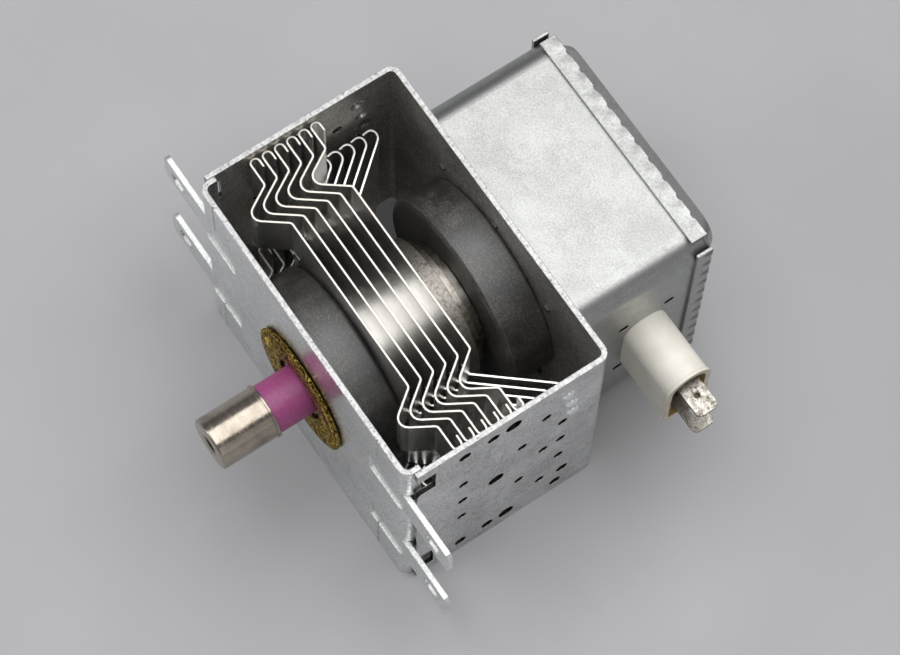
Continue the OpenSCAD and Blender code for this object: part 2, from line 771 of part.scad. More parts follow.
// The four slots around the connector, about its middle
module clip_slots() {
    for (sy = [-1, 1], sz = [-1, 1]) {
        translate([sy * clip_pitch_y / 2, sz * clip_pitch_z / 2]) slot(clip_len, clip_w);
    }
}

module filter_box() {
    color("gainsboro") {
        difference() {
            along_y(box_start, cover_in - seat) rounded(box_w, box_h, box_r);
            along_y(box_start + box_t, box_end) rounded(box_w - 2 * box_t, box_h - 2 * box_t, box_r - box_t);
            rod_y(seal_r + bore_gap, box_start - past, box_start + box_t + past);
            along_x(box_in_x - past, box_w / 2 + past) shroud_outline(shroud_gap);
            along_x(box_in_x - past, box_w / 2 + past) translate([shroud_y, socket_z]) clip_slots();
        }
        for (i = [0:2], s = [-1, 1]) {
            along_y(back_in - 0.6, box_start) translate([stake_x[i], s * stake_z[i]])
                square([stake_w, stake_t], center = true);
        }
    }
}

// Lengths of the cover's flanges, which stop short of the box's corners
crimp_off = 0.9;
flange_half_x = box_w / 2 - flange_inset;
flange_half_z = box_h / 2 - flange_inset;

// The cover's raised panel, grown outwards by g
module panel(g) {
    w = box_w - 2 * panel_in;
    h = box_h - 2 * panel_in;
    hull() {
        along_y(cover_in - past + g, cover_in + g) rounded(w, h, box_r);
        along_y(cover_in + g, cover_in + panel_out + g)
            rounded(w - 2 * panel_slope, h - 2 * panel_slope, box_r - panel_slope / 2);
    }
}

module filter_cover() {
    a = box_end - cover_flange;
    color("gainsboro") difference() {
        union() {
            along_y(cover_in, box_end) rounded(box_w + 2 * seat, box_h + 2 * seat, box_r);
            for (s = [-1, 1]) {
                along_y(a, box_end) translate([0, s * (box_h / 2 + seat + box_t / 2)])
                    square([2 * flange_half_x, box_t], center = true);
                along_y(a, box_end) translate([s * (box_w / 2 + seat + box_t / 2), 0])
                    square([box_t, 2 * flange_half_z], center = true);
            }
            panel(box_t);
        }
        panel(0);
        crimps();
    }
}

// A row of crimps across each fold of the cover
module crimps() {
    nx = floor(flange_half_x / crimp_pitch);
    nz = floor(flange_half_z / crimp_pitch);
    for (s = [-1, 1]) {
        for (i = [-nx:nx - 1]) {
            translate([(i + 0.5) * crimp_pitch, box_end + crimp_off, s * (box_h / 2 + box_t + crimp_off)])
                rotate([s * 45, 0, 0]) cylinder(r = crimp_r, h = 6, center = true);
        }
        for (i = [-nz:nz - 1]) {
            translate([s * (box_w / 2 + box_t + crimp_off), box_end + crimp_off, (i + 0.5) * crimp_pitch])
                rotate([90, 0, s * 45]) cylinder(r = crimp_r, h = 6, center = true);
        }
    }
}

// Route of a choke coil from a cathode lead, around its core and on to a terminal; s is its side
function choke_route(lead_z, s) = concat(
    [[0, lead_end, lead_z], [0, lead_end + 2, lead_z], [-3, lead_end + 4, lead_z + s], [-14, lead_end + 5.5, s * 6.4],
        [-25, lead_end + 6, s * 7], [choke_start_x - 3.5, choke_y - 6, s * 7.6], [choke_start_x - 3, choke_y - 2, s * (choke_z - choke_r)]],
    [for (i = [0:10 * choke_turns]) let (x = choke_start_x + (choke_end_x - choke_start_x) * i / (10 * choke_turns))
        [x, choke_y + choke_r * sin(36 * i), s * (choke_z - choke_r * cos(36 * i))]],
    [[choke_end_x + 3, choke_y - 1, s * (choke_z - choke_r - 0.4)], [rod_start - 5, shroud_y + 1.5, socket_z + s * (tab_pitch / 2 + 1)],
        [rod_start - 2, shroud_y, socket_z + s * tab_pitch / 2], [rod_start, shroud_y, socket_z + s * tab_pitch / 2]]);

module upper_choke_coil() {
    color("brown") wire(choke_route(0, 1), choke_wire_r, 6);
}

module lower_choke_coil() {
    color("brown") wire(choke_route(-side_lead_z, -1), choke_wire_r, 6);
}

module choke_core(s) {
    translate([0, choke_y, s * choke_z]) rod_x(core_r, choke_start_x - 1, choke_end_x + 1);
}

module upper_choke_core() {
    color("dimgray") choke_core(1);
}

module lower_choke_core() {
    color("dimgray") choke_core(-1);
}

module capacitor_plate() {
    color("silver") along_x(ground_x, shroud_start) translate([shroud_y, socket_z]) difference() {
        rounded(shroud_w + 8, clip_pitch_z + 6, 2);
        rounded(shroud_w - 2 * shroud_wall, shroud_h - 2 * shroud_wall, shroud_r - shroud_wall);
        clip_slots();
    }
}

module capacitor_body() {
    color("khaki") difference() {
        along_x(body_start, ground_x) translate([shroud_y, socket_z]) rounded(shroud_w, shroud_h, shroud_r);
        for (s = [-1, 1]) {
            translate([0, shroud_y, socket_z + s * tab_pitch / 2]) rod_x(rod_r + seat, body_start - past, ground_x + past);
        }
    }
}

// Section of the shroud grown by g: a round top and a squarer foot
module shroud_outline(g) {
    h = shroud_h / 2 + 2 * g;
    translate([shroud_y, socket_z]) {
        rounded(shroud_w + 2 * g, shroud_h + 2 * g, shroud_r + g);
        translate([0, h / 2 - shroud_h / 2 - g]) rounded(shroud_w + 2 * g, h, shroud_foot_r + g);
    }
}

// Bead around the shroud's mouth
mouth_lip = 0.25;
mouth_lip_len = 0.9;

module connector_shroud() {
    color("ivory") difference() {
        union() {
            along_x(shroud_start, shroud_end) shroud_outline(0);
            along_x(shroud_end - mouth_lip_len, shroud_end) shroud_outline(mouth_lip);
        }
        along_x(shroud_end - shroud_depth, shroud_end + past) shroud_outline(-shroud_wall);
        for (s = [-1, 1]) {
            translate([0, shroud_y, socket_z + s * tab_pitch / 2])
                rod_x(rod_r + seat, shroud_start - past, shroud_end - shroud_depth + past);
        }
    }
}

// Outline of a terminal tab seen from above, with a rounded tip and a detent hole
module tab_outline() {
    tip = 2 * tab_tip_r + 1;
    difference() {
        union() {
            translate([tab_start, -tab_w / 2]) square([tab_end - tab_tip_r - tab_start, tab_w]);
            translate([tab_end - tip / 2, 0]) rounded(tip, tab_w, tab_tip_r);
        }
        translate([tab_end - 5.2, 0]) circle(d = 1.7);
    }
}

module terminal(s) {
    color("lightgray") translate([0, shroud_y, socket_z + s * tab_pitch / 2]) {
        translate([0, 0, -tab_t / 2]) linear_extrude(tab_t) tab_outline();
        rod_x(rod_r, rod_start, tab_start + 1.5);
    }
}

module upper_terminal() {
    terminal(1);
}

module lower_terminal() {
    terminal(-1);
}

yoke_channel();
front_plate();
front_magnet();
rear_magnet();
fin(1);  // fin_1
fin(2);  // fin_2
fin(3);  // fin_3
fin(4);  // fin_4
fin(5);  // fin_5
fin(6);  // fin_6
anode_cylinder();
anode_vanes();
strap_rings();
front_pole_piece();
rear_pole_piece();
antenna_seal();
cathode_seal();
antenna_ceramic();
antenna_cap();
exhaust_tube();
antenna_lead();
rf_gasket();
filament();
front_end_shield();
rear_end_shield();
centre_lead();
side_lead();
stem_ceramic();
filter_box();
filter_cover();
upper_choke_coil();
lower_choke_coil();
upper_choke_core();
lower_choke_core();
capacitor_plate();
capacitor_body();
connector_shroud();
upper_terminal();
lower_terminal();
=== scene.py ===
# %% [markdown]
# # An oven magnetron
# A magnetron makes the microwaves of a kitchen oven. A vacuum tube sits between two ring magnets,
# a steel yoke closes their magnetic path, and bent aluminium fins carry the tube's heat away.
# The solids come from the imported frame, and this lesson gives them light, a camera and finishes.

# %% Load the frame
import math
import bpy
from mathutils import Matrix, Vector
from types import SimpleNamespace


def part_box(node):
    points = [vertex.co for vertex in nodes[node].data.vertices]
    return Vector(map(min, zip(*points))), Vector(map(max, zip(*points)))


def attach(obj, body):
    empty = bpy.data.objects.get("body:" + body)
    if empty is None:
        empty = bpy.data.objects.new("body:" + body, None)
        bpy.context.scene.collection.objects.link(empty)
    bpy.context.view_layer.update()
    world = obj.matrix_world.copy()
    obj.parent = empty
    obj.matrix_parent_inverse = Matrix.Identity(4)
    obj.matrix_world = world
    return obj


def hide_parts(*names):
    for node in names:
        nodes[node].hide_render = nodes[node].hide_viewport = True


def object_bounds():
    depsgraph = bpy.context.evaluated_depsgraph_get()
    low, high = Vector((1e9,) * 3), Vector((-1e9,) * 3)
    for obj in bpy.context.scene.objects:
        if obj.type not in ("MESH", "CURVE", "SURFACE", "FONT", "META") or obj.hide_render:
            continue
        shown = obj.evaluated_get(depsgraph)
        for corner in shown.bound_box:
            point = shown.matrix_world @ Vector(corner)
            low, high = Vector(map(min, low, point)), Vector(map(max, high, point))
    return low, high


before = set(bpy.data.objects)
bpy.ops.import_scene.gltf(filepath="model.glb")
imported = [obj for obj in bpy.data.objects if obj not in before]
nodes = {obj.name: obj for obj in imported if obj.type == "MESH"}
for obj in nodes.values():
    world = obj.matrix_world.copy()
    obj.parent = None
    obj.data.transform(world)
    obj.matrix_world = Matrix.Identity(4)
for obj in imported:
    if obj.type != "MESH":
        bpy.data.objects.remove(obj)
cad_low, cad_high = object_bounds()
print("nodes:", len(nodes), "box in mm:", [round(1000 * v, 1) for v in cad_high - cad_low])

# %% [markdown]
# ## Small helpers
# Colours are easiest to read as sRGB hex values, but shaders work in linear light, so one function converts
# them. Patterns are easiest to think of in millimetres, so one function turns a grain size into a scale.
# Every shader node is added by one function that takes its settings and its links together.
# Two more start a material and put it on the frame's nodes.

# %% Helpers for colours, scales and shader nodes
MM = 0.001


def rgb(code):
    parts = [int(code[i:i + 2], 16) / 255 for i in (1, 3, 5)]
    return [c / 12.92 if c <= 0.04045 else ((c + 0.055) / 1.055) ** 2.4 for c in parts] + [1.0]


def grain(size_mm):
    return 1000 / size_mm


def add(tree, kind, links=None, stops=None, **settings):
    node = tree.nodes.new("ShaderNode" + kind)
    for key, value in settings.items():
        setattr(node, key, value)
    for key, value in (links or {}).items():
        if isinstance(value, bpy.types.NodeSocket):
            tree.links.new(value, node.inputs[key])
        else:
            node.inputs[key].default_value = value
    for i, (place, colour) in enumerate(stops or []):
        stop = node.color_ramp.elements[i] if i < 2 else node.color_ramp.elements.new(place)
        stop.position, stop.color = place, colour
    return node


def start(name):
    material = bpy.data.materials.new(name)
    material.use_nodes = True
    tree = material.node_tree
    surface = tree.nodes["Principled BSDF"]
    place = add(tree, "TexCoord")
    return material, tree, surface, place


def dress(material, *names):
    for name in names:
        mesh = nodes[name].data
        mesh.materials.clear()
        mesh.materials.append(material)
    print(material.name, "on", ", ".join(names))


# %% [markdown]
# ## The camera
# The photograph looks steeply down on one corner of the yoke with a long lens.
# The camera's place was worked out from the yoke's rims, so the numbers are a place, three angles and a lens,
# which is given by its focal length in pixels of a picture that is 900 pixels wide.

# %% Camera
AZIMUTH, ELEVATION, ROLL = 53.743, 68.213, 2.367
CAMERA_MM = (247.15, -137.37, 745.3)
FOCAL_PIXELS, IMAGE_WIDTH, SENSOR_MM = 3246.8, 900, 36
NEAREST, FARTHEST = 0.05, 20  # m

az, el, roll = (math.radians(a) for a in (AZIMUTH, ELEVATION, ROLL))
back = Vector((math.sin(az) * math.cos(el), -math.cos(az) * math.cos(el), math.sin(el)))
level = Vector((0, 0, 1)).cross(back).normalized()
upright = back.cross(level)
right = math.cos(roll) * level + math.sin(roll) * upright
up = -math.sin(roll) * level + math.cos(roll) * upright
camera = bpy.data.objects.new("camera", bpy.data.cameras.new("camera"))
bpy.context.scene.collection.objects.link(camera)
turned = Matrix((right, up, back)).transposed().to_4x4()
camera.matrix_world = Matrix.Translation(Vector(CAMERA_MM) * MM) @ turned
camera.data.sensor_fit, camera.data.sensor_width = "HORIZONTAL", SENSOR_MM
camera.data.lens = FOCAL_PIXELS * SENSOR_MM / IMAGE_WIDTH
camera.data.clip_start, camera.data.clip_end = NEAREST, FARTHEST
bpy.context.scene.camera = camera
print("lens in mm:", round(camera.data.lens, 1))

# %% [markdown]
# ## A pale floor
# The floor is matt card. Away from the object, the floor and the horizon show one plain pale tone to the
# camera, in mirrors and through glass, as a paper sweep does, while their light on the object stays dim.
# A Light Path node tells those rays from the ones that carry light, and a mix fades the tone in.

# %% Sweep and floor
SWEEP = rgb("#b4b4b6")
FLOOR_SIZE, SWEEP_STARTS, SWEEP_IS_FULL = 6, 0.3, 1.2  # m


def sweep(tree, kind, share, shader, output):
    rays = add(tree, "LightPath")
    seen = rays.outputs["Is Camera Ray"]
    for ray in ("Is Glossy Ray", "Is Transmission Ray"):
        seen = add(tree, "Math", {0: seen, 1: rays.outputs[ray]}, operation="MAXIMUM").outputs[0]
    part = add(tree, "Math", {0: seen, 1: share}, operation="MULTIPLY")
    pale = add(tree, kind, {"Color": SWEEP, "Strength": 1.0})
    both = add(tree, "MixShader", {0: part.outputs[0], 1: shader, 2: pale.outputs[0]})
    tree.links.new(both.outputs[0], tree.nodes[output].inputs["Surface"])


floor_z = cad_low.z
bpy.ops.mesh.primitive_plane_add(size=FLOOR_SIZE, location=(0, 0, floor_z))
floor = bpy.context.object
floor.name = "floor"
material, tree, surface, place = start("matt_studio_card")
fibre = add(tree, "TexNoise", {"Vector": place.outputs["Object"], "Scale": grain(40), "Detail": 3.0})
tone = add(tree, "ValToRGB", {"Fac": fibre.outputs["Fac"]}, stops=[(0.3, SWEEP), (0.7, rgb("#b8b8ba"))])
tree.links.new(tone.outputs["Color"], surface.inputs["Base Color"])
surface.inputs["Roughness"].default_value = 0.75
surface.inputs["Specular IOR Level"].default_value = 0.2
away = add(tree, "VectorMath", {0: place.outputs["Object"]}, operation="LENGTH")
far = add(tree, "MapRange", {"Value": away.outputs["Value"], 1: SWEEP_STARTS, 2: SWEEP_IS_FULL,
                             3: 0.0, 4: 1.0}, interpolation_type="SMOOTHSTEP")
sweep(tree, "Emission", far.outputs[0], surface.outputs[0], "Material Output")
floor.data.materials.append(material)
print("floor at mm:", round(1000 * floor_z, 1))

# %% [markdown]
# ## Studio light
# Bare metal shows what surrounds it, so the light matters more than its colour does.
# One wide soft box hangs above, as over a product table, and draws the bright band along the cap and the
# collars. Three weak ones at the right, in front and behind keep upright faces from going black.
# The world is a dim dome, lighter above than at the horizon.

# %% Lamps
AIM_MM = (0, 30, 0)


def soft_box(name, place_mm, size_mm, watts):
    lamp = bpy.data.lights.new(name, "AREA")
    lamp.shape, lamp.size, lamp.size_y = "RECTANGLE", size_mm[0] * MM, size_mm[1] * MM
    lamp.energy = watts
    item = bpy.data.objects.new(name, lamp)
    item.location = Vector(place_mm) * MM
    item.rotation_mode = "QUATERNION"
    item.rotation_quaternion = (Vector(AIM_MM) - Vector(place_mm)).to_track_quat("-Z", "Y")
    bpy.context.scene.collection.objects.link(item)
    print(name, "of", watts, "W")


soft_box("soft_box_above", (0, 200, 950), (1130, 1300), 10.7)
soft_box("soft_box_right", (800, 100, 350), (400, 500), 0.25)
soft_box("soft_box_front", (-350, -800, 450), (500, 300), 2.4)
soft_box("soft_box_behind", (-300, 950, 200), (700, 250), 0.2)

# %% World
DOME_STRENGTH = 0.45
HORIZON_ENDS, HORIZON_IS_FULL = 0.35, 0.05

world = bpy.data.worlds.new("dim_dome")
world.use_nodes = True
sky = world.node_tree
backdrop = sky.nodes["Background"]
heading = add(sky, "TexCoord")
height = add(sky, "SeparateXYZ", {"Vector": heading.outputs["Generated"]})
dome = add(sky, "ValToRGB", {"Fac": height.outputs["Z"]},
           stops=[(0.0, rgb("#6f7073")), (0.9, rgb("#b9babd"))])
sky.links.new(dome.outputs["Color"], backdrop.inputs["Color"])
backdrop.inputs["Strength"].default_value = DOME_STRENGTH
low_down = add(sky, "MapRange", {"Value": height.outputs["Z"], 1: HORIZON_ENDS, 2: HORIZON_IS_FULL,
                                 3: 0.0, 4: 1.0})
sweep(sky, "Background", low_down.outputs[0], backdrop.outputs[0], "World Output")
bpy.context.scene.world = world
bpy.context.scene.view_settings.view_transform = "Standard"
print("world:", world.name)

# %% [markdown]
# ## Hot-dip galvanised steel sheet
# The yoke, the front plate and the filter's box are made of zinc-coated sheet. Zinc freezes into crystals,
# the spangle, that differ a little in grey and in gloss, and handling leaves fine grit and soft smears.
# Voronoi cells give the crystals, and two noises give the grit and the smears. Real grit is finer than
# half a millimetre, but that is as fine as shows in the picture.
# A sheet in the making is one bundle of sockets, so that each mark below can be laid over the last one.

# %% Zinc and its spangle
GRIT, SMEAR = 0.5, 14  # mm
GLOSS_SPREAD = 0.08


def zinc(name, light, dark, spangle_mm, gloss):
    material, tree, surface, place = start(name)
    spot = place.outputs["Object"]
    crystal = add(tree, "TexVoronoi", {"Vector": spot, "Scale": grain(spangle_mm)})
    shade = add(tree, "SeparateColor", {"Color": crystal.outputs["Color"]})
    grit = add(tree, "TexNoise", {"Vector": spot, "Scale": grain(GRIT), "Detail": 4.0, "Roughness": 0.75})
    smear = add(tree, "TexNoise", {"Vector": spot, "Scale": grain(SMEAR), "Detail": 4.0})
    total = add(tree, "Math", {0: shade.outputs["Red"], 1: 0.05}, operation="MULTIPLY")
    for pattern, weight in ((grit, 0.75), (smear, 0.2)):
        total = add(tree, "Math", {0: pattern.outputs["Fac"], 1: weight, 2: total.outputs[0]},
                    operation="MULTIPLY_ADD")
    colour = add(tree, "ValToRGB", {"Fac": total.outputs[0]}, stops=[(0.4, rgb(dark)), (0.6, rgb(light))])
    polish = add(tree, "MapRange", {"Value": total.outputs[0], 1: 0.35, 2: 0.65,
                                    3: gloss + GLOSS_SPREAD, 4: gloss - GLOSS_SPREAD})
    worn = add(tree, "Bevel", {"Radius": 0.35 * MM}, samples=4)
    height = add(tree, "Bump", {"Height": grit.outputs["Fac"], "Strength": 0.12, "Distance": 0.1 * MM,
                                "Normal": worn.outputs["Normal"]})
    surface.inputs["Metallic"].default_value = 1.0
    where = add(tree, "SeparateXYZ", {"Vector": spot})
    facing = add(tree, "SeparateXYZ", {"Vector": place.outputs["Normal"]})
    return SimpleNamespace(
        material=material, tree=tree, surface=surface, spot=spot, where=where.outputs, facing=facing.outputs,
        base=colour.outputs["Color"], rough=polish.outputs[0], normal=height.outputs["Normal"])


# %% [markdown]
# ### Painted shade and highlights on a wall
# Punched holes are painted dark as shade. The inner faces, which nobody wipes, carry a faint bloom of zinc
# oxide, so they are duller than the outer ones, and their brown tint is painted shade. What stands proud of a
# wall is rubbed smoother and painted bright as a highlight. A point that lies within the wall's thickness is
# in a hole, so its place alone tells what it is, and nothing is painted by hand. Only the pressed bumps cross
# the thickness too, so their region stays free of the painted hole shade.

# %% Painted hole shade, inner tint and bump highlights
HOLE_MARGIN, FACE_MARGIN, PROUD_MARGIN = 0.1, 0.05, 0.08  # mm
BUMPS_ABOVE, BUMPS_BEHIND = 13.5, 43  # mm
INNER_SHADE_SHARE, BLOOM_METALLIC = 0.4, 0.88
DULL, RUBBED = 0.44, 0.14  # roughness


def wall_marks(sheet, half, thick, axis, flat_to, room_to, bumps=False):
    tree = sheet.tree
    side = add(tree, "Math", {0: sheet.where["X"]}, operation="ABSOLUTE").outputs[0]
    reach = add(tree, "Math", {0: sheet.where[axis]}, operation="ABSOLUTE").outputs[0]
    # points within the wall's thickness lie in a hole and get painted shade
    sunk = add(tree, "Math", {0: side, 1: (half - thick / 2) * MM, 2: (thick / 2 - HOLE_MARGIN) * MM},
               operation="COMPARE")
    flat = add(tree, "Math", {0: reach, 1: flat_to * MM}, operation="LESS_THAN")
    hole_shade = add(tree, "Math", {0: sunk.outputs[0], 1: flat.outputs[0]}, operation="MULTIPLY")
    if bumps:
        high = add(tree, "Math", {0: sheet.where["Z"], 1: BUMPS_ABOVE * MM}, operation="GREATER_THAN")
        rear = add(tree, "Math", {0: sheet.where["Y"], 1: BUMPS_BEHIND * MM}, operation="GREATER_THAN")
        pressed = add(tree, "Math", {0: high.outputs[0], 1: rear.outputs[0]}, operation="MULTIPLY")
        hole_shade = add(tree, "Math", {0: hole_shade.outputs[0], 1: pressed.outputs[0]}, operation="SUBTRACT",
                     use_clamp=True)
    indoors = add(tree, "Math", {0: side, 1: (half - thick + FACE_MARGIN) * MM}, operation="LESS_THAN")
    before_end = add(tree, "Math", {0: reach, 1: (room_to + FACE_MARGIN) * MM}, operation="LESS_THAN")
    inner_faces = add(tree, "Math", {0: indoors.outputs[0], 1: before_end.outputs[0]}, operation="MULTIPLY")
    # the inner faces' brown tint is painted shade; their dulling and oxide bloom are real
    tint = add(tree, "Math", {0: inner_faces.outputs[0], 1: INNER_SHADE_SHARE}, operation="MULTIPLY")
    # painted highlight: what stands proud is painted near white, and it is also rubbed smoother
    proud = add(tree, "Math", {0: side, 1: (half + PROUD_MARGIN) * MM}, operation="GREATER_THAN")
    # painted shade in holes, painted shade on inner faces, painted highlight on what stands proud
    for mark, colour in ((hole_shade, "#2b2826"), (tint, "#8f7f6a"), (proud, "#fafbfa")):
        laid = add(tree, "Mix", {0: mark.outputs[0], 6: sheet.base, 7: rgb(colour)}, data_type="RGBA")
        sheet.base = laid.outputs[2]
    for mark, rough in ((inner_faces, DULL), (proud, RUBBED)):
        sheet.rough = add(tree, "Mix", {0: mark.outputs[0], 2: sheet.rough, 3: rough}).outputs[0]
    bloom = add(tree, "MapRange", {"Value": inner_faces.outputs[0], 1: 0.0, 2: 1.0, 3: 1.0, 4: BLOOM_METALLIC})
    tree.links.new(bloom.outputs[0], sheet.surface.inputs["Metallic"])


# %% [markdown]
# ### Sheared rims and staked tabs
# Where the shears cut the sheet, the edge is matt, and on the yoke's rims it shows bare steel in
# salt-and-pepper specks. A point at the very top or bottom is on a rim, and a face that looks up or down
# was cut. The filter box's tabs reach through the yoke's back wall and are hammered over inside it,
# and their ends are painted dark as the shade in the slots.

# %% Rims and tabs
RIM_MARGIN, TAB_MARGIN = 0.1, 0.1  # mm
CUT_FACING, CUT_ROUGHNESS = 0.9, 0.5


def sheared_rims(sheet):
    tree = sheet.tree
    above = add(tree, "Math", {0: sheet.where["Z"]}, operation="ABSOLUTE")
    rim = add(tree, "Math", {0: above.outputs[0], 1: cad_high.z - RIM_MARGIN * MM}, operation="GREATER_THAN")
    pepper = add(tree, "TexNoise", {"Vector": sheet.spot, "Scale": grain(0.7), "Detail": 5.0,
                                    "Roughness": 0.7})
    salt = add(tree, "ValToRGB", {"Fac": pepper.outputs["Fac"]},
               stops=[(0.32, rgb("#75716d")), (0.42, rgb("#b2b2b2")), (0.62, rgb("#d4d4d2"))])
    specks = add(tree, "Mix", {0: rim.outputs[0], 6: sheet.base, 7: salt.outputs["Color"]}, data_type="RGBA")
    sheet.base = specks.outputs[2]
    level_face = add(tree, "Math", {0: sheet.facing["Z"]}, operation="ABSOLUTE")
    cut = add(tree, "Math", {0: level_face.outputs[0], 1: CUT_FACING}, operation="GREATER_THAN")
    sheet.rough = add(tree, "Mix", {0: cut.outputs[0], 2: sheet.rough, 3: CUT_ROUGHNESS}).outputs[0]


def shaded_staked_tabs(sheet, front_mm):
    bare = add(sheet.tree, "Math", {0: sheet.where["Y"], 1: (front_mm - TAB_MARGIN) * MM},
               operation="LESS_THAN")
    # painted shade on the tab ends in their slots
    dark = add(sheet.tree, "Mix", {0: bare.outputs[0], 6: sheet.base, 7: rgb("#5a5753")}, data_type="RGBA")
    sheet.base = dark.outputs[2]


# %% [markdown]
# ### Crimped folds
# The cover's folds are crimped at a regular pitch, so a cosine along each fold presses soft waves into them,
# and the waves at the two sides are darkened with painted shade. Near the cover's lip the waves fade out.

# %% Crimps
CRIMP_PITCH = 5.8  # mm
FADE_STARTS, FADE_ENDS = 0.8, 3.4  # mm from the lip
TOP_WAVE, SIDE_WAVE = 1.0, 2.2


def crimps(sheet, lip):
    tree = sheet.tree
    waves = []
    for along, across, size in (("X", "Z", TOP_WAVE), ("Z", "X", SIDE_WAVE)):
        phase = add(tree, "Math", {0: sheet.where[along], 1: 2 * math.pi / (CRIMP_PITCH * MM)},
                    operation="MULTIPLY")
        wave = add(tree, "Math", {0: phase.outputs[0]}, operation="COSINE")
        part = add(tree, "Math", {0: sheet.facing[across], 1: size}, operation="MULTIPLY")
        square_on = add(tree, "Math", {0: part.outputs[0]}, operation="ABSOLUTE")
        waves.append(add(tree, "Math", {0: wave.outputs[0], 1: square_on.outputs[0]}, operation="MULTIPLY"))
    both = add(tree, "Math", {0: waves[0].outputs[0], 1: waves[1].outputs[0]}, operation="ADD")
    deep = add(tree, "MapRange", {"Value": sheet.where["Y"], 1: lip + FADE_STARTS * MM,
                                  2: lip + FADE_ENDS * MM, 3: 0.0, 4: 1.0}, interpolation_type="SMOOTHSTEP")
    pressed = add(tree, "Math", {0: both.outputs[0], 1: deep.outputs[0]}, operation="MULTIPLY")
    side_depth = add(tree, "Math", {0: waves[1].outputs[0], 1: deep.outputs[0]}, operation="MULTIPLY")
    # painted shade in the side waves of the crimps
    crimp_shade = add(tree, "MapRange", {"Value": side_depth.outputs[0], 1: 0.4, 2: 2.0, 3: 0.0, 4: 0.7})
    crimp_shaded = add(tree, "Mix", {0: crimp_shade.outputs[0], 6: sheet.base, 7: rgb("#3a3938")}, data_type="RGBA")
    sheet.base = crimp_shaded.outputs[2]
    waved = add(tree, "Bump", {"Height": pressed.outputs[0], "Strength": 0.6, "Distance": 0.14 * MM,
                               "Normal": sheet.normal})
    sheet.normal = waved.outputs["Normal"]


# %% [markdown]
# ### The sheet pieces
# The yoke has the coarsest finish. The front plate was rolled once more, so it is more even, and the
# filter's box is drawn from a thinner and duller sheet. Each piece gets the marks that its making gives it.
# A wall is given by its half width and thickness in mm, by how far it stays flat along an axis before it
# bends, and by how far the room behind it reaches along that axis.

# %% Yoke, plate, box and cover
def wear(sheet, *names):
    for socket, value in (("Base Color", sheet.base), ("Roughness", sheet.rough), ("Normal", sheet.normal)):
        sheet.tree.links.new(value, sheet.surface.inputs[socket])
    dress(sheet.material, *names)


yoke = zinc("hot_dip_galvanised_steel", "#fafbfa", "#949594", 1.6, 0.24)
wall_marks(yoke, half=46, thick=1.4, axis="Y", flat_to=53.5, room_to=56.2, bumps=True)
sheared_rims(yoke)
wear(yoke, "yoke_channel")
plate = zinc("skin_passed_galvanised_steel", "#fafbfa", "#cccecd", 1.4, 0.27)
sheared_rims(plate)
wear(plate, "front_plate")
box = zinc("thin_galvanised_sheet", "#b1b2b0", "#9e9f9d", 2.4, 0.38)
wall_marks(box, half=34.2, thick=0.8, axis="Z", flat_to=25, room_to=25)
shaded_staked_tabs(box, front_mm=57.6)
wear(box, "filter_box")
cover = zinc("crimped_galvanised_sheet", "#b5b6b4", "#9c9d9b", 2.4, 0.4)
crimps(cover, lip=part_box("filter_cover")[0].y)
wear(cover, "filter_cover")
wear(zinc("bright_zinc_plate", "#c8cacc", "#a4a6a9", 1.2, 0.3), "capacitor_plate")

# %% [markdown]
# ## Rolled aluminium strip
# The fins are stamped from bright strip. Rolls leave hair lines along the strip's length,
# and the sheared edges on top are matt but face the light, so they are the brightest lines of the object.
# Noise that is stretched along X gives the hair lines, and the height above the middle tells the cut edges.

# %% Fins
material, tree, surface, place = start("rolled_aluminium_strip")
along = add(tree, "Mapping", {"Vector": place.outputs["Object"], "Scale": (0.04, 1.0, 1.0)})
hairs = add(tree, "TexNoise", {"Vector": along.outputs["Vector"], "Scale": grain(0.35), "Detail": 3.0})
tint = add(tree, "TexNoise", {"Vector": place.outputs["Object"], "Scale": grain(7), "Detail": 4.0})
colour = add(tree, "ValToRGB", {"Fac": tint.outputs["Fac"]},
             stops=[(0.35, rgb("#edebe8")), (0.65, rgb("#f7f6f3"))])
gloss = add(tree, "MapRange", {"Value": hairs.outputs["Fac"], 1: 0.3, 2: 0.7, 3: 0.27, 4: 0.31})
soft_edge = add(tree, "Bevel", {"Radius": 0.2 * MM}, samples=4)
height = add(tree, "Bump", {"Height": hairs.outputs["Fac"], "Strength": 0.03, "Distance": 0.03 * MM,
                            "Normal": soft_edge.outputs["Normal"]})
where = add(tree, "SeparateXYZ", {"Vector": place.outputs["Object"]})
above = add(tree, "Math", {0: where.outputs["Z"]}, operation="ABSOLUTE")
fin_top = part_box("fin_3")[1].z
sheared = add(tree, "Math", {0: above.outputs[0], 1: fin_top - RIM_MARGIN * MM}, operation="GREATER_THAN")
base = add(tree, "Mix", {0: sheared.outputs[0], 6: colour.outputs["Color"], 7: rgb("#dad5cd")},
           data_type="RGBA")
rough = add(tree, "Mix", {0: sheared.outputs[0], 2: gloss.outputs[0], 3: 0.45})
tree.links.new(base.outputs[2], surface.inputs["Base Color"])
tree.links.new(rough.outputs[0], surface.inputs["Roughness"])
tree.links.new(height.outputs["Normal"], surface.inputs["Normal"])
surface.inputs["Metallic"].default_value = 1.0
dress(material, *("fin_%d" % i for i in range(1, 7)))

# %% [markdown]
# ## Sintered ferrite
# Ferrite is a black-grey ceramic, pressed, fired and ground. It is dull and a little dusty,
# its edges are rubbed lighter, and grinding leaves faint scuffs. Two noises, one of 9 mm and one of half
# a millimetre, give the dusty patches and the pores, and the rounded normal tells where an edge is.

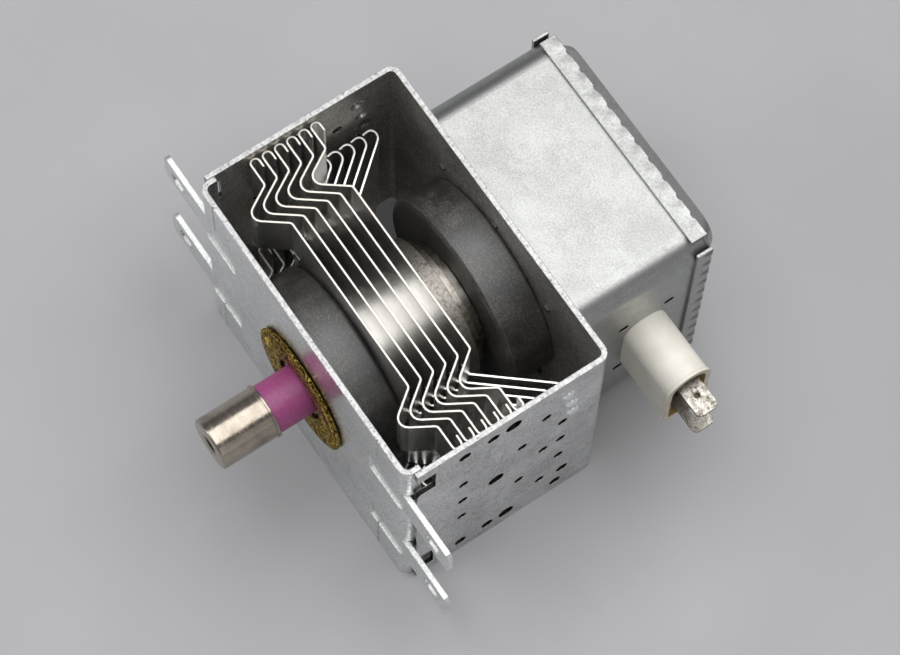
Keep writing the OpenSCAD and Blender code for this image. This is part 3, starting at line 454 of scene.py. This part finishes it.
# %% Magnets and choke cores
material, tree, surface, place = start("sintered_ferrite")
spot = place.outputs["Object"]
dust = add(tree, "TexNoise", {"Vector": spot, "Scale": grain(9), "Detail": 6.0, "Roughness": 0.65})
pores = add(tree, "TexNoise", {"Vector": spot, "Scale": grain(0.5), "Detail": 3.0, "Roughness": 0.7})
half = add(tree, "Math", {0: dust.outputs["Fac"], 1: 0.5}, operation="MULTIPLY")
mixed = add(tree, "Math", {0: pores.outputs["Fac"], 1: 0.5, 2: half.outputs[0]}, operation="MULTIPLY_ADD")
long_way = add(tree, "Mapping", {"Vector": spot, "Rotation": (0.3, 0.5, 0.2), "Scale": (1.0, 0.06, 1.0)})
scuffs = add(tree, "TexNoise", {"Vector": long_way.outputs["Vector"], "Scale": grain(1.6), "Detail": 4.0})
colour = add(tree, "ValToRGB", {"Fac": mixed.outputs[0]},
             stops=[(0.38, rgb("#0e0d0c")), (0.5, rgb("#262422")), (0.62, rgb("#57534e"))])
specks = add(tree, "MapRange", {"Value": pores.outputs["Fac"], 1: 0.52, 2: 0.72, 3: 0.0, 4: 0.35})
grainy = add(tree, "Mix", {0: specks.outputs[0], 6: colour.outputs["Color"], 7: rgb("#7a746e")},
             data_type="RGBA")
streak = add(tree, "MapRange", {"Value": scuffs.outputs["Fac"], 1: 0.6, 2: 0.75, 3: 0.0, 4: 0.25})
scuffed = add(tree, "Mix", {0: streak.outputs[0], 6: grainy.outputs[2], 7: rgb("#6b6866")}, data_type="RGBA")
geometry = add(tree, "NewGeometry")
rounded = add(tree, "Bevel", {"Radius": 0.9 * MM}, samples=6)
flatness = add(tree, "VectorMath", {0: rounded.outputs["Normal"], 1: geometry.outputs["Normal"]},
               operation="DOT_PRODUCT")
edge = add(tree, "MapRange", {"Value": flatness.outputs["Value"], 1: 0.99, 2: 0.9, 3: 0.0, 4: 0.7})
rub = add(tree, "Math", {0: edge.outputs[0], 1: dust.outputs["Fac"]}, operation="MULTIPLY")
worn = add(tree, "Mix", {0: rub.outputs[0], 6: scuffed.outputs[2], 7: rgb("#8a8683")}, data_type="RGBA")
gloss = add(tree, "MapRange", {"Value": dust.outputs["Fac"], 1: 0.3, 2: 0.7, 3: 0.42, 4: 0.62})
height = add(tree, "Bump", {"Height": pores.outputs["Fac"], "Strength": 0.5, "Distance": 0.12 * MM,
                            "Normal": rounded.outputs["Normal"]})
tree.links.new(worn.outputs[2], surface.inputs["Base Color"])
tree.links.new(gloss.outputs[0], surface.inputs["Roughness"])
tree.links.new(height.outputs["Normal"], surface.inputs["Normal"])
surface.inputs["IOR"].default_value = 2.05
dress(material, "front_magnet", "rear_magnet", "upper_choke_core", "lower_choke_core")

# %% [markdown]
# ## Turned and drawn metals
# The anode is a turned copper cylinder with a bright plating, the seals are drawn steel with brazing stains,
# and the antenna's cap is drawn and nickel-plated. All of them are bodies of revolution about the same axis,
# so their tool marks run around it. Noise that is stretched around the axis needs only the distance along Y,
# which a squeezed mapping gives. The hole in the cap's end is painted dark as shade, and the distance from
# the axis tells where it is.

# %% Round metal pieces
def turned_metal(name, light, stain, gloss, line_mm, line_depth, stain_share, stain_mm=5, bore_mm=0):
    material, tree, surface, place = start(name)
    spot = place.outputs["Object"]
    rings = add(tree, "Mapping", {"Vector": spot, "Scale": (0.05, 1.0, 0.05)})
    lines = add(tree, "TexNoise", {"Vector": rings.outputs["Vector"], "Scale": grain(line_mm), "Detail": 2.0})
    cloud = add(tree, "TexNoise", {"Vector": spot, "Scale": grain(stain_mm), "Detail": 5.0, "Roughness": 0.6})
    amount = add(tree, "MapRange", {"Value": cloud.outputs["Fac"], 1: 0.45, 2: 0.75, 3: 0.0, 4: stain_share})
    colour = add(tree, "Mix", {0: amount.outputs[0], 6: rgb(light), 7: rgb(stain)}, data_type="RGBA")
    if bore_mm:
        flat = add(tree, "VectorMath", {0: spot, 1: (1.0, 0.0, 1.0)}, operation="MULTIPLY")
        radius = add(tree, "VectorMath", {0: flat.outputs[0]}, operation="LENGTH")
        bore_shade = add(tree, "Math", {0: radius.outputs["Value"], 1: (bore_mm / 2 + HOLE_MARGIN) * MM},
                   operation="LESS_THAN")
        # painted shade inside the cap's hole
        colour = add(tree, "Mix", {0: bore_shade.outputs[0], 6: colour.outputs[2], 7: rgb("#16130f")},
                     data_type="RGBA")
    gloss_map = add(tree, "MapRange", {"Value": lines.outputs["Fac"], 1: 0.3, 2: 0.7,
                                       3: gloss - 0.05, 4: gloss + 0.08})
    soft_edge = add(tree, "Bevel", {"Radius": 0.25 * MM}, samples=4)
    height = add(tree, "Bump", {"Height": lines.outputs["Fac"], "Strength": line_depth, "Distance": 0.05 * MM,
                                "Normal": soft_edge.outputs["Normal"]})
    tree.links.new(colour.outputs[2], surface.inputs["Base Color"])
    tree.links.new(gloss_map.outputs[0], surface.inputs["Roughness"])
    tree.links.new(height.outputs["Normal"], surface.inputs["Normal"])
    surface.inputs["Metallic"].default_value = 1.0
    return material


CAP_HOLE = 5.2  # mm
dress(turned_metal("bright_plated_copper", "#a39e97", "#574b41", 0.48, 0.35, 0.15, 0.9, 0.8),
      "anode_cylinder")
dress(turned_metal("drawn_steel_with_brazing_stains", "#a8a39b", "#5d4c38", 0.32, 0.4, 0.12, 0.9, 2),
      "antenna_seal", "cathode_seal")
dress(turned_metal("nickel_plated_drawn_cap", "#b2a89c", "#5c5042", 0.21, 0.5, 0.1, 0.55, 6, CAP_HOLE),
      "antenna_cap")
dress(turned_metal("bare_copper", "#c98a63", "#8a5238", 0.3, 0.4, 0.1, 0.6),
      "anode_vanes", "strap_rings", "exhaust_tube", "antenna_lead")
dress(turned_metal("pressed_soft_iron", "#8d8b88", "#5f564d", 0.4, 0.5, 0.15, 0.5),
      "front_pole_piece", "rear_pole_piece")
dress(turned_metal("molybdenum_rod", "#a9a9ad", "#77777c", 0.3, 0.3, 0.1, 0.4),
      "front_end_shield", "rear_end_shield", "centre_lead", "side_lead")
dress(turned_metal("thoriated_tungsten_wire", "#7b7b80", "#4c4c50", 0.4, 0.2, 0.1, 0.5), "filament")

# %% [markdown]
# ## Fired alumina and its like
# The antenna's insulator is alumina, coloured pink by chromium, and the stem's is plain white.
# Fired alumina is matt and faintly mottled, with hardly any gloss on top, so its clear coat is thin or
# missing. The same recipe with more coat gives the capacitor's resin and the enamel on the choke wire.

# %% Ceramics
def alumina(name, light, dark, rough, coat):
    material, tree, surface, place = start(name)
    spot = place.outputs["Object"]
    mottle = add(tree, "TexNoise", {"Vector": spot, "Scale": grain(1.2), "Detail": 5.0, "Roughness": 0.6})
    colour = add(tree, "ValToRGB", {"Fac": mottle.outputs["Fac"]},
                 stops=[(0.35, rgb(dark)), (0.65, rgb(light))])
    soft_edge = add(tree, "Bevel", {"Radius": 0.3 * MM}, samples=4)
    height = add(tree, "Bump", {"Height": mottle.outputs["Fac"], "Strength": 0.1, "Distance": 0.08 * MM,
                                "Normal": soft_edge.outputs["Normal"]})
    tree.links.new(colour.outputs["Color"], surface.inputs["Base Color"])
    tree.links.new(height.outputs["Normal"], surface.inputs["Normal"])
    surface.inputs["Roughness"].default_value = rough
    surface.inputs["IOR"].default_value = 1.76
    surface.inputs["Coat Weight"].default_value = coat
    surface.inputs["Coat Roughness"].default_value = 0.12
    return material


dress(alumina("chrome_pink_alumina", "#b74d90", "#a24380", 0.5, 0.06), "antenna_ceramic")
dress(alumina("plain_white_alumina", "#ece9e2", "#dcd8cf", 0.55, 0.0), "stem_ceramic")
dress(alumina("potted_capacitor_resin", "#cdbb8a", "#b5a06c", 0.5, 0.1), "capacitor_body")
dress(alumina("wire_enamel", "#7c2f17", "#5f2110", 0.25, 0.5), "upper_choke_coil", "lower_choke_coil")

# %% [markdown]
# ## Moulded cream resin
# The connector's shroud is moulded. Outside it is cream with a satin skin, and inside it is coloured a darker
# brownish tone. A face belongs to the inside where it looks towards the connector's own axis, so nothing is
# painted.

# %% Shroud
shroud_low, shroud_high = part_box("connector_shroud")
middle = (shroud_low + shroud_high) / 2
material, tree, surface, place = start("moulded_cream_resin")
spot = place.outputs["Object"]
from_axis = add(tree, "VectorMath", {0: spot, 1: middle}, operation="SUBTRACT")
across = add(tree, "VectorMath", {0: from_axis.outputs[0], 1: (0.0, 1.0, 1.0)}, operation="MULTIPLY")
outward = add(tree, "VectorMath", {0: across.outputs[0], 1: place.outputs["Normal"]},
              operation="DOT_PRODUCT")
inside = add(tree, "MapRange", {"Value": outward.outputs["Value"], 1: 0.5 * MM, 2: -0.5 * MM, 3: 0.0, 4: 1.0})
haze = add(tree, "TexNoise", {"Vector": spot, "Scale": grain(6), "Detail": 4.0})
skin, inner_tone = (
    add(tree, "ValToRGB", {"Fac": haze.outputs["Fac"]}, stops=[(0.35, rgb(dark)), (0.65, rgb(light))])
    for dark, light in (("#f3ede0", "#fbf7ec"), ("#a98a52", "#c6ab74")))
colour = add(tree, "Mix", {0: inside.outputs[0], 6: skin.outputs["Color"], 7: inner_tone.outputs["Color"]},
             data_type="RGBA")
soft_edge = add(tree, "Bevel", {"Radius": 0.4 * MM}, samples=4)
fine = add(tree, "TexNoise", {"Vector": spot, "Scale": grain(0.4), "Detail": 2.0})
height = add(tree, "Bump", {"Height": fine.outputs["Fac"], "Strength": 0.06, "Distance": 0.08 * MM,
                            "Normal": soft_edge.outputs["Normal"]})
tree.links.new(colour.outputs[2], surface.inputs["Base Color"])
tree.links.new(height.outputs["Normal"], surface.inputs["Normal"])
surface.inputs["Roughness"].default_value = 0.42
surface.inputs["IOR"].default_value = 1.55
dress(material, "connector_shroud")

# %% [markdown]
# ## Tinned brass
# The tabs are brass strip with a soft tin coat. Plugs have been pushed on and pulled off,
# so the coat is blotchy, with dull patches and bright scratches along the tab.

# %% Terminals
material, tree, surface, place = start("worn_tinned_brass")
spot = place.outputs["Object"]
blotch = add(tree, "TexNoise", {"Vector": spot, "Scale": grain(1.1), "Detail": 5.0, "Roughness": 0.75})
drag = add(tree, "Mapping", {"Vector": spot, "Scale": (0.08, 1.0, 1.0)})
marks = add(tree, "TexNoise", {"Vector": drag.outputs["Vector"], "Scale": grain(0.4), "Detail": 3.0})
colour = add(tree, "ValToRGB", {"Fac": blotch.outputs["Fac"]},
             stops=[(0.36, rgb("#3d3831")), (0.46, rgb("#99948a")), (0.64, rgb("#c6c3bc"))])
gloss = add(tree, "MapRange", {"Value": blotch.outputs["Fac"], 1: 0.35, 2: 0.65, 3: 0.55, 4: 0.25})
soft_edge = add(tree, "Bevel", {"Radius": 0.25 * MM}, samples=4)
height = add(tree, "Bump", {"Height": marks.outputs["Fac"], "Strength": 0.25, "Distance": 0.1 * MM,
                            "Normal": soft_edge.outputs["Normal"]})
tree.links.new(colour.outputs["Color"], surface.inputs["Base Color"])
tree.links.new(gloss.outputs[0], surface.inputs["Roughness"])
tree.links.new(height.outputs["Normal"], surface.inputs["Normal"])
surface.inputs["Metallic"].default_value = 1.0
dress(material, "upper_terminal", "lower_terminal")

# %% [markdown]
# ## The wire mesh gasket
# The ring around the antenna is knitted from brass wire and pressed flat, so it shows gold loops with dark
# gaps. A bump map would stay flat at its edge, so the wires are modelled: each one winds around the ring's
# cross-section while it travels around the ring, half of them one way and half the other, over a dark core
# that closes the gaps. The wire is drawn 0.3 mm thick, which is coarser than the real one, so that it shows.

# %% Path of a wire in the ring
GASKET_LOW, GASKET_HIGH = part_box("rf_gasket")
OUTER_R = GASKET_HIGH.x
INNER_R = min(math.hypot(v.co.x, v.co.z) for v in nodes["rf_gasket"].data.vertices)
WIRE_R = 0.15 * MM
CLEARANCE = 1.2 * WIRE_R
SQUARENESS = 0.55
mid_r, mid_y = (OUTER_R + INNER_R) / 2, (GASKET_LOW.y + GASKET_HIGH.y) / 2
half_w = (OUTER_R - INNER_R) / 2 - CLEARANCE
half_t = (GASKET_HIGH.y - GASKET_LOW.y) / 2 - CLEARANCE
print("gasket radii in mm:", round(1000 * INNER_R, 1), round(1000 * OUTER_R, 1))


def squared(angle):
    c, s = math.cos(angle), math.sin(angle)
    return (math.copysign(abs(c) ** SQUARENESS, c), math.copysign(abs(s) ** SQUARENESS, s))


def ring_point(turn, angle, shrink):
    a, b = squared(angle)
    r = mid_r + a * (half_w - shrink)
    return Vector((r * math.cos(turn), mid_y + b * (half_t - shrink), r * math.sin(turn)))


# %% Tubes along the paths
WIRES_EACH_WAY, WINDINGS, STEPS, WIRE_SIDES = 12, 17, 28, 5
LOOP_TURN, LOOPS = 0.016, 5  # radians, and loops in each winding
WAVE_DEPTH, WAVES = 0.12 * MM, 7
CORE_TURNS, CORE_SIDES, CORE_INSET = 72, 20, 0.3 * MM
OFF_AXIS = Vector((0.31, 0.87, 0.38))


def close_ring(first, count, sides):
    for i in range(count):
        for k in range(sides):
            a, b = first + i * sides, first + ((i + 1) % count) * sides
            faces.append((a + k, a + (k + 1) % sides, b + (k + 1) % sides, b + k))


def tube(points, radius, sides):
    count, first = len(points), len(verts)
    for i, p in enumerate(points):
        ahead = (points[(i + 1) % count] - points[i - 1]).normalized()
        n = ahead.cross(OFF_AXIS).normalized()
        m = ahead.cross(n)
        for k in range(sides):
            around = 2 * math.pi * k / sides
            verts.append(p + radius * (math.cos(around) * n + math.sin(around) * m))
    close_ring(first, count, sides)


verts, faces = [], []
for way in (1, -1):
    for wire in range(WIRES_EACH_WAY):
        total = WINDINGS * STEPS
        path = []
        for i in range(total):
            share = i / total
            turn = 2 * math.pi * (share + wire / WIRES_EACH_WAY / WINDINGS)
            angle = way * 2 * math.pi * WINDINGS * share
            loop = LOOP_TURN * math.sin(LOOPS * angle)
            wave = WAVE_DEPTH * (1 + math.sin(WAVES * angle + way)) * 0.5
            path.append(ring_point(turn + loop, angle, wave))
        tube(path, WIRE_R, WIRE_SIDES)
wire_faces, core_first = len(faces), len(verts)
for i in range(CORE_TURNS):
    for k in range(CORE_SIDES):
        verts.append(ring_point(2 * math.pi * i / CORE_TURNS, 2 * math.pi * k / CORE_SIDES, CORE_INSET))
close_ring(core_first, CORE_TURNS, CORE_SIDES)
print("gasket triangles:", 2 * len(faces))

# %% Gasket of knitted wire
mesh = bpy.data.meshes.new("knitted_gasket")
mesh.from_pydata(verts, [], faces)
mesh.validate()
for i, polygon in enumerate(mesh.polygons):
    polygon.use_smooth = True
    polygon.material_index = 0 if i < wire_faces else 1
gasket = bpy.data.objects.new("knitted_gasket", mesh)
bpy.context.scene.collection.objects.link(gasket)
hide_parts("rf_gasket")
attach(gasket, "root")
print(gasket.name, "stands for rf_gasket")

# %% [markdown]
# The wire is drawn brass, bright where it was rubbed and brown where it tarnished.
# The core between the wires is what light hardly reaches, so it is a dull dark brown.

# %% Brass wire and the dark gaps
material, tree, surface, place = start("drawn_brass_wire")
tarnish = add(tree, "TexNoise", {"Vector": place.outputs["Object"], "Scale": grain(0.6), "Detail": 4.0})
colour = add(tree, "ValToRGB", {"Fac": tarnish.outputs["Fac"]},
             stops=[(0.4, rgb("#2a1e08")), (0.5, rgb("#7f621c")), (0.6, rgb("#cdb668"))])
gloss = add(tree, "MapRange", {"Value": tarnish.outputs["Fac"], 1: 0.35, 2: 0.65, 3: 0.5, 4: 0.25})
tree.links.new(colour.outputs["Color"], surface.inputs["Base Color"])
tree.links.new(gloss.outputs[0], surface.inputs["Roughness"])
surface.inputs["Metallic"].default_value = 1.0
gasket.data.materials.append(material)
# painted shade: a dark core where light hardly reaches between the wires
material, tree, surface, place = start("shaded_gaps_between_wires")
depth = add(tree, "TexNoise", {"Vector": place.outputs["Object"], "Scale": grain(0.8), "Detail": 3.0})
colour = add(tree, "ValToRGB", {"Fac": depth.outputs["Fac"]},
             stops=[(0.4, rgb("#0f0b05")), (0.65, rgb("#2a200d"))])
tree.links.new(colour.outputs["Color"], surface.inputs["Base Color"])
surface.inputs["Roughness"].default_value = 0.7
gasket.data.materials.append(material)

# %% [markdown]
# ## The last check
# The frame's nodes that were left without a finish are listed.

# %% Nodes without a finish
bare = [name for name, item in nodes.items() if not item.data.materials]
print("nodes without a finish:", bare)
